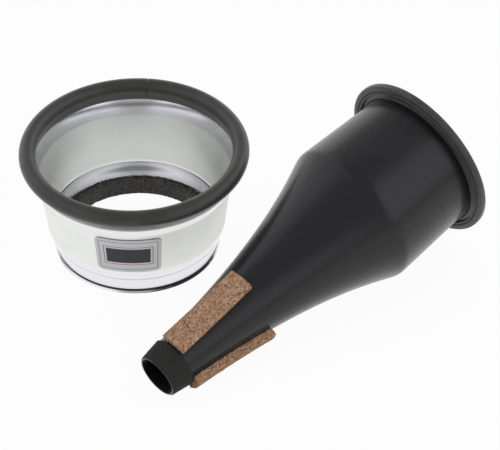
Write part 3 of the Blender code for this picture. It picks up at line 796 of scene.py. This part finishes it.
felt_top = COLLAR_HEIGHT + FELT_PROUD
felt_section = refined(rounded(
    [
        (FELT_BORE + FELT_THICKNESS, felt_top), (FELT_BORE + FELT_THICKNESS, FELT_RECESS),
        (FELT_BORE, FELT_RECESS), (FELT_BORE, felt_top),
    ],
    [FELT_GLUED_EDGE, FELT_GLUED_EDGE, FELT_FOOT_EDGE, FELT_TOP_EDGE]), FELT_STEP)
felt_grid = (len(felt_section), FELT_COLUMNS)
ragged = sum(height * field(felt_grid, cells, seed) for height, cells, seed in RAGGED)
off_metal = np.clip((FELT_BORE + FELT_THICKNESS - felt_section[:, 0]) / RAGGED_FROM_METAL, 0, 1)[:, None]
off_table = np.clip(felt_section[:, 1] / RAGGED_FROM_TABLE, 0, 1)[:, None]
felt_points = moved_out(round_cup(felt_section, full_turn(FELT_COLUMNS)), ragged * off_metal * off_table)
near_top = np.clip((felt_section[:, 1] - felt_top + TUFT_ZONE) / TUFT_ZONE, 0, 1)[:, None] ** 2
standing = sum(height * field(felt_grid, cells, seed) for height, cells, seed in STANDING)
felt_points[..., 2] += TUFT_HEIGHT * np.clip(standing, -0.6, 2.0) * near_top

# Pressed wool felt: matt black-brown with pale flecks where fibres catch the light, and a fuzzy edge. The
# flecks are drawn about 0.9 mm wide, coarser than the fibres, so that they show.
black_felt, tree, shader = finish_named(
    "pressed_wool_felt", Roughness=1.0, Specular_IOR_Level=0.1, Sheen_Weight=0.25,
    Sheen_Roughness=0.6)
where = add(tree, "TexCoord")
fibre = add(
    tree, "TexNoise", [("Vector", where.outputs["Object"])], Scale=1100.0, Detail=5.0, Roughness=0.8)
tone = add(
    tree, "ValToRGB", [("Fac", fibre.outputs["Fac"])], stops=((0.36, "#23231f"), (0.70, "#86847a")))
tree.links.new(tone.outputs["Color"], shader.inputs["Base Color"])
skin = add(tree, "Bump", [("Height", fibre.outputs["Fac"])], Strength=0.9, Distance=0.0004)
tree.links.new(skin.outputs["Normal"], shader.inputs["Normal"])

grid_mesh(
    "collar_felt_band", felt_points, black_felt, "cup", ["collar_felt"], sharp=180)


def fibre_mesh(name, roots, ways, lengths, radius, surface):
    """Loose fibres as closed three-sided spikes: a triangle round each root and a point at its tip, which
    is the root plus its way times its length."""
    aside = [0.31, 0.53, 0.79]      # any direction will do to find one square to a fibre
    side = np.cross(ways, aside)
    side /= np.linalg.norm(side, axis=1)[:, None]
    other = np.cross(ways, side)
    turn = np.arange(3) * 2 * np.pi / 3
    ring = np.cos(turn)[None, :, None] * side[:, None] + np.sin(turn)[None, :, None] * other[:, None]
    base = roots[:, None] + radius * ring
    tip = (roots + ways * lengths[:, None])[:, None]
    points = np.concatenate([base, tip], axis=1).reshape(-1, 3)
    start = 4 * np.arange(len(roots))[:, None, None]
    pattern = np.array([[0, 2, 1], [0, 1, 3], [1, 2, 3], [2, 0, 3]])[None]
    mesh = bpy.data.meshes.new(name)
    mesh.from_pydata(points.tolist(), [], (start + pattern).reshape(-1, 3).tolist())
    place_piece(mesh, surface, "cup", [])


# Each fibre leans at random, mostly upwards, out over the metal if it grows there and in over the bore if
# not. Their length swells and sinks round the edge, so that they stand in tufts.
rng = np.random.default_rng(17)
around = rng.uniform(0, 2 * np.pi, FELT_FIBRES)
out_way = np.column_stack([np.cos(around), np.sin(around), np.zeros(FELT_FIBRES)])
depth = rng.uniform(0, 1, FELT_FIBRES) ** 0.7
fibre_radius = FELT_BORE + FIBRE_INSET + depth * (FELT_THICKNESS - FIBRE_INSET - FIBRE_EDGE)
fibre_root = CUP_AXIS + fibre_radius[:, None] * out_way
fibre_root[:, 2] = felt_top - FIBRE_EDGE - FIBRE_DIP * (1 - depth) * rng.uniform(0, 1, FELT_FIBRES)
fibre_way = rng.normal(size=(FELT_FIBRES, 3)) * FIBRE_SCATTER + np.array([0.0, 0.0, FIBRE_UPWARDS])
fibre_way += (0.7 * depth - 0.4)[:, None] * out_way
fibre_way /= np.linalg.norm(fibre_way, axis=1)[:, None]
tufts = np.clip(0.55 + 0.55 * lumps(fibre_root, TUFT_WAVE, 41), 0.12, 1.6)
fibre_length = tufts * rng.uniform(FIBRE_SHORTEST, FIBRE_LONGEST, FELT_FIBRES)
fibre_mesh("collar_felt_fibres", fibre_root, fibre_way, fibre_length, FIBRE_RADIUS, black_felt)

# Label
# A thin foil sticker with round corners, pressed on the bowl's wall by its own glue. Its silver ground is
# printed with a dark panel and two fine keylines.
LABEL_RISE = 0.0015
LABEL_TALL = 0.0240
LABEL_WIDE = 0.0340
LABEL_TURN = math.radians(-136)
LABEL_THICKNESS = 0.0002
LABEL_LIFT = 0.00030
LABEL_CORNER = 0.0030
FOIL_COLOUR = "#c9cbcd"
PRINT = (                       # half width, half height and ink of each panel, from the outer keyline in
    (0.0152, 0.0102, "#4a4b4d"),
    (0.0149, 0.0099, FOIL_COLOUR),
    (0.0128, 0.0066, "#a8383b"),
    (0.0124, 0.0062, FOIL_COLOUR),
    (0.0114, 0.0052, "#333436"),
)


def label_sheet(rows, columns):
    """Points of a sheet with round corners, in metres from its middle: a square grid whose rows are
    narrowed near top and bottom by the corner's circle, and lie closer together there by a sine."""
    v = np.linspace(-1, 1, rows)[:, None] * LABEL_TALL / 2
    v = LABEL_TALL / 2 * np.sin(v / (LABEL_TALL / 2) * np.pi / 2)
    into = np.clip(np.abs(v) - (LABEL_TALL / 2 - LABEL_CORNER), 0, LABEL_CORNER)
    half = LABEL_WIDE / 2 - LABEL_CORNER + np.sqrt(np.maximum(LABEL_CORNER ** 2 - into ** 2, 0))
    u = np.linspace(-1, 1, columns)[None, :] * half
    return u, np.broadcast_to(v, u.shape)


across, up = label_sheet(60, 60)
label_middle = WALL_FOOT_HEIGHT + LABEL_RISE + LABEL_TALL / 2
middle_radius = wall_point(np.array([label_middle]), 0.0)[0, 0]
label_sides = []
for depth_out in (LABEL_LIFT, LABEL_LIFT + LABEL_THICKNESS):
    wall = wall_point(label_middle + up.ravel(), -depth_out)
    angle = LABEL_TURN + across.ravel() / middle_radius
    label_sides.append(np.column_stack([
        CUP_AXIS[0] + wall[:, 0] * np.cos(angle), CUP_AXIS[1] + wall[:, 0] * np.sin(angle), wall[:, 1]]))
rows, columns = across.shape
index = np.arange(rows * columns).reshape(rows, columns)
quads = np.stack([index[:-1, :-1], index[:-1, 1:], index[1:, 1:], index[1:, :-1]], axis=-1).reshape(-1, 4)
border = np.concatenate([index[0, :-1], index[:-1, -1], index[-1, :0:-1], index[:0:-1, 0]])
after = np.roll(border, -1)
count = rows * columns
rim_quads = np.column_stack([after, border, border + count, after + count])
points = np.vstack(label_sides)
label_faces = np.vstack([quads[:, ::-1], quads + count, rim_quads])
mesh = bpy.data.meshes.new("label_foil")
mesh.from_pydata(points.tolist(), [], label_faces.tolist())
corner_index = label_faces.ravel() % count
mesh.uv_layers.new(name="printed").uv.foreach_set(
    "vector", np.column_stack([across.ravel(), up.ravel()])[corner_index].astype(np.float32).ravel())

# Printed foil: a soft silver with a broad highlight, less bright than bare metal because it is lacquered,
# and flat, matt inks.
foil, tree, shader = finish_named("printed_silver_foil", Metallic=0.55, Roughness=0.38)
printed = add(tree, "UVMap", uv_map="printed")
side = add(tree, "SeparateXYZ", [("Vector", printed.outputs["UV"])])


def inside_panel(tree, side, half_wide, half_tall):
    """1 inside an upright panel of the given half sizes about the label's middle, 0 outside."""
    inside = []
    for way, half in (("X", half_wide), ("Y", half_tall)):
        away = add(tree, "Math", [(0, side.outputs[way])], operation="ABSOLUTE")
        near = add(tree, "Math", [(0, away.outputs["Value"])], operation="LESS_THAN")
        near.inputs[1].default_value = half
        inside.append(near.outputs["Value"])
    return add(tree, "Math", [(0, inside[0]), (1, inside[1])], operation="MULTIPLY")


beneath = []
for half_wide, half_tall, ink in PRINT:
    mask = inside_panel(tree, side, half_wide, half_tall)
    printed_over = add(
        tree, "MixRGB", [("Fac", mask.outputs["Value"])] + beneath,
        Color1=linear(FOIL_COLOUR), Color2=linear(ink))
    beneath = [("Color1", printed_over.outputs["Color"])]
tree.links.new(printed_over.outputs["Color"], shader.inputs["Base Color"])
place_piece(mesh, foil, "cup", ["label"])

# Stage
# A white sweep, soft boxes painted into the world round it and the camera of the photograph. None of it
# is part of the object.
CAMERA_PLACE = (-0.66628, -0.72060, 0.84757)
CAMERA_PITCH = math.radians(40.125)     # how far it looks down
CAMERA_FORWARD = (0.689, 0.7247)        # the way it looks, over the floor
FOCAL_PIXELS = 2434.9
PICTURE_WIDE = 500
SENSOR = 36.0
FLOOR_REACH = 3
FLOOR_WHITE = 0.95              # share of plain white that is seen, and the rest takes the shadow
ROOM = (0.47, 0.47, 0.48, 1.0)
# A soft box is an area of directions. Its numbers are parts of a unit direction: the part that points its
# way, to the camera's right or behind the object, where it starts and is full, and the part that points up
# where its foot fades in and its top fades out. The last is its light.
SOFT_BOXES = (
    ("behind", (0.35, 0.70), (-0.20, -0.10), (0.22, 0.50), (1.00, 1.03, 1.00, 1.0)),
    ("right", (0.30, 0.58), (0.04, 0.22), (0.80, 0.93), (1.16, 1.13, 1.22, 1.0)),
    ("right", (-0.24, -0.50), (0.04, 0.22), (0.76, 0.92), (1.00, 1.00, 1.06, 1.0)),
)

floor_mesh = bpy.data.meshes.new("floor")
floor_corners = [(x * FLOOR_REACH, y * FLOOR_REACH, 0) for x, y in ((-1, -1), (1, -1), (1, 1), (-1, 1))]
floor_mesh.from_pydata(floor_corners, [], [(0, 1, 2, 3)])
floor = bpy.data.objects.new("floor", floor_mesh)
bpy.context.scene.collection.objects.link(floor)
# Matt white paper: it shows as plain white and keeps only the object's shadow.
sweep, tree, shader = finish_named("white_sweep", Base_Color=(0.85, 0.85, 0.85, 1.0), Roughness=0.9)
path = add(tree, "LightPath")
seen = add(
    tree, "Math", [(0, path.outputs["Is Camera Ray"]), (1, path.outputs["Is Glossy Ray"])],
    operation="MAXIMUM")
seen_all = add(
    tree, "Math", [(0, seen.outputs["Value"]), (1, path.outputs["Is Transmission Ray"])],
    operation="MAXIMUM")
share = add(tree, "Math", [(0, seen_all.outputs["Value"])], operation="MULTIPLY")
share.inputs[1].default_value = FLOOR_WHITE
white = add(tree, "Emission", Color=(1.0, 1.0, 1.0, 1.0), Strength=1.0)
blend = add(
    tree, "MixShader",
    [("Fac", share.outputs["Value"]), (1, shader.outputs["BSDF"]), (2, white.outputs["Emission"])])
tree.links.new(blend.outputs["Shader"], tree.nodes["Material Output"].inputs["Surface"])
floor_mesh.materials.append(sweep)

world = bpy.data.worlds.new("studio")
bpy.context.scene.world = world
world.use_nodes = True
tree = world.node_tree
background = tree.nodes["Background"]
where = add(tree, "TexCoord")
sky = add(tree, "SeparateXYZ", [("Vector", where.outputs["Generated"])])
right = add(tree, "VectorMath", [(0, where.outputs["Generated"])], operation="DOT_PRODUCT")
right.inputs[1].default_value = (CAMERA_FORWARD[1], -CAMERA_FORWARD[0], 0.0)
behind = add(tree, "VectorMath", [(0, where.outputs["Generated"])], operation="DOT_PRODUCT")
behind.inputs[1].default_value = (CAMERA_FORWARD[0], CAMERA_FORWARD[1], 0.0)

# Each box is laid over what came before.
beneath = []
for way, reach, foot, top, light in SOFT_BOXES:
    sideways = add(
        tree, "MapRange", [("Value", {"right": right, "behind": behind}[way].outputs["Value"])],
        interpolation_type="SMOOTHSTEP", From_Min=reach[0], From_Max=reach[1])
    upright = between(tree, sky.outputs["Z"], foot, top, "SMOOTHSTEP")
    lit = add(
        tree, "Math", [(0, sideways.outputs["Result"]), (1, upright.outputs["Value"])],
        operation="MULTIPLY")
    box = add(tree, "MixRGB", [("Fac", lit.outputs["Value"])] + beneath, Color1=ROOM, Color2=light)
    beneath = [("Color1", box.outputs["Color"])]
path = add(tree, "LightPath")
seen_by_camera = add(
    tree, "MixRGB", [("Fac", path.outputs["Is Camera Ray"]), ("Color1", box.outputs["Color"])],
    Color2=(1.0, 1.0, 1.0, 1.0))
tree.links.new(seen_by_camera.outputs["Color"], background.inputs["Color"])
background.inputs["Strength"].default_value = 1.0

# The camera that was fitted to the photograph: its focal length is in the photograph's own pixels.
camera_data = bpy.data.cameras.new("camera")
camera_data.sensor_width = SENSOR
camera_data.lens = FOCAL_PIXELS / PICTURE_WIDE * SENSOR
camera = bpy.data.objects.new("camera", camera_data)
camera.location = CAMERA_PLACE
camera.rotation_euler = (
    math.pi / 2 - CAMERA_PITCH, 0.0, math.atan2(CAMERA_FORWARD[1], CAMERA_FORWARD[0]) - math.pi / 2)
bpy.context.scene.collection.objects.link(camera)
bpy.context.scene.camera = camera
bpy.context.scene.view_settings.view_transform = "Standard"
